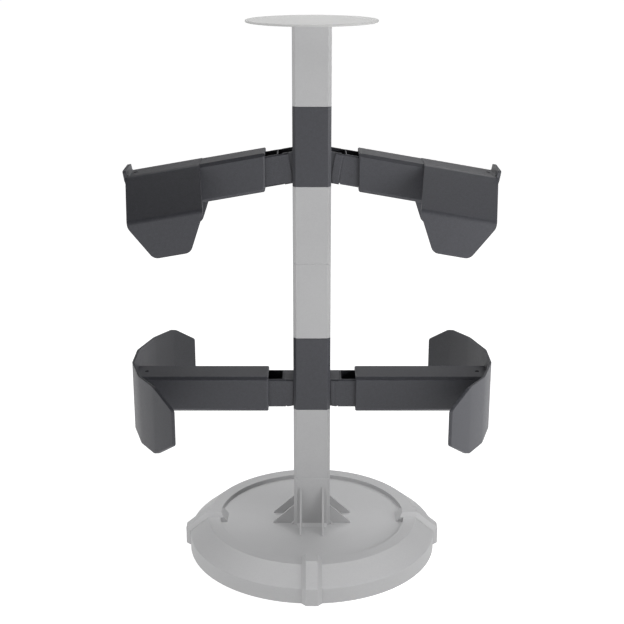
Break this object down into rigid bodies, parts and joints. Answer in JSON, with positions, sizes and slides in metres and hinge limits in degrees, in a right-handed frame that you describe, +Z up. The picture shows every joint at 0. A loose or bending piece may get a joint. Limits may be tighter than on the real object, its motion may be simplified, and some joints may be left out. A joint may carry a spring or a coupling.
{
  "type": "modular arm display stand",
  "caption": "Free-standing holder stand: round weighted base, stacked square column, thin top disc, tilting telescopic arms ending in roof-shaped saddles and curved cradles.",
  "frame": {"origin": "on the floor, on the axis of the column", "axes": "+Z up along the column, +X along the right-hand arms, +Y to the back"},
  "size_m": [0.4724, 0.3472, 0.7086],
  "materials": {
    "grey_plastic": "fine matte texture, light warm grey",
    "disc_plastic": "fine matte texture, paler grey",
    "anthracite_plastic": "fine speckled matte texture, anthracite",
    "inner_plastic": "plain moulded, dark grey",
    "screw_steel": "black oxide",
    "ballast_steel": "raw rolled steel plate",
    "rubber": "matte"
  },
  "bodies": {
    "stand": {"base_shell": "grey_plastic", "base_cover": "grey_plastic", "ballast_plate": "ballast_steel", "rubber_feet": "rubber", "cover_screws": "screw_steel", "rim_clip_front": "grey_plastic", "rim_clip_back": "grey_plastic", "rim_clip_left": "grey_plastic", "rim_clip_right": "grey_plastic", "column_foot": "grey_plastic", "foot_screws": "screw_steel", "column_section_1": "grey_plastic", "lower_arm_section": "anthracite_plastic", "column_section_2": "grey_plastic", "column_section_3": "grey_plastic", "upper_arm_section": "anthracite_plastic", "column_section_4": "grey_plastic", "coupler_1": "inner_plastic", "coupler_2": "inner_plastic", "coupler_3": "inner_plastic", "coupler_4": "inner_plastic", "coupler_5": "inner_plastic", "coupler_6": "inner_plastic", "disc_plug": "inner_plastic", "top_disc": "disc_plastic", "upper_left_pivot_pin": "screw_steel", "upper_right_pivot_pin": "screw_steel", "lower_left_pivot_pin": "screw_steel", "lower_right_pivot_pin": "screw_steel"},
    "upper_left_arm": {"upper_left_inner_arm": "anthracite_plastic"},
    "upper_left_slider": {"upper_left_sleeve": "anthracite_plastic", "upper_left_stop_pin": "screw_steel", "upper_left_end_plug": "inner_plastic", "upper_left_set_screw": "screw_steel", "upper_left_saddle": "anthracite_plastic", "upper_left_saddle_screws": "screw_steel"},
    "upper_right_arm": {"upper_right_inner_arm": "anthracite_plastic"},
    "upper_right_slider": {"upper_right_sleeve": "anthracite_plastic", "upper_right_stop_pin": "screw_steel", "upper_right_end_plug": "inner_plastic", "upper_right_set_screw": "screw_steel", "upper_right_saddle": "anthracite_plastic", "upper_right_saddle_screws": "screw_steel"},
    "lower_left_arm": {"lower_left_inner_arm": "anthracite_plastic"},
    "lower_left_slider": {"lower_left_sleeve": "anthracite_plastic", "lower_left_stop_pin": "screw_steel", "lower_left_end_plug": "inner_plastic", "lower_left_set_screw": "screw_steel", "lower_left_cradle": "anthracite_plastic", "lower_left_cradle_screws": "screw_steel"},
    "lower_right_arm": {"lower_right_inner_arm": "anthracite_plastic"},
    "lower_right_slider": {"lower_right_sleeve": "anthracite_plastic", "lower_right_stop_pin": "screw_steel", "lower_right_end_plug": "inner_plastic", "lower_right_set_screw": "screw_steel", "lower_right_cradle": "anthracite_plastic", "lower_right_cradle_screws": "screw_steel"}
  },
  "joints": [
    {"name": "upper_left_tilt", "type": "hinge", "parent": "stand", "child": "upper_left_arm", "pos_m": [-0.0315, 0, 0.5195], "axis": [0, -1, 0], "range_deg": [-9.9, 5.1]},
    {"name": "upper_left_extend", "type": "slide", "parent": "upper_left_arm", "child": "upper_left_slider", "axis": [-0.9851, 0, -0.1719], "range_m": [-0.014, 0.07]},
    {"name": "upper_right_tilt", "type": "hinge", "parent": "stand", "child": "upper_right_arm", "pos_m": [0.0315, 0, 0.5195], "axis": [0, 1, 0], "range_deg": [-9.9, 5.1]},
    {"name": "upper_right_extend", "type": "slide", "parent": "upper_right_arm", "child": "upper_right_slider", "axis": [0.9851, 0, -0.1719], "range_m": [-0.014, 0.07]},
    {"name": "lower_left_tilt", "type": "hinge", "parent": "stand", "child": "lower_left_arm", "pos_m": [-0.0315, 0, 0.2195], "axis": [0, -1, 0], "range_deg": [0, 15]},
    {"name": "lower_left_extend", "type": "slide", "parent": "lower_left_arm", "child": "lower_left_slider", "axis": [-1, 0, 0], "range_m": [-0.014, 0.07]},
    {"name": "lower_right_tilt", "type": "hinge", "parent": "stand", "child": "lower_right_arm", "pos_m": [0.0315, 0, 0.2195], "axis": [0, 1, 0], "range_deg": [0, 15]},
    {"name": "lower_right_extend", "type": "slide", "parent": "lower_right_arm", "child": "lower_right_slider", "axis": [1, 0, 0], "range_m": [-0.014, 0.07]}
  ]
}
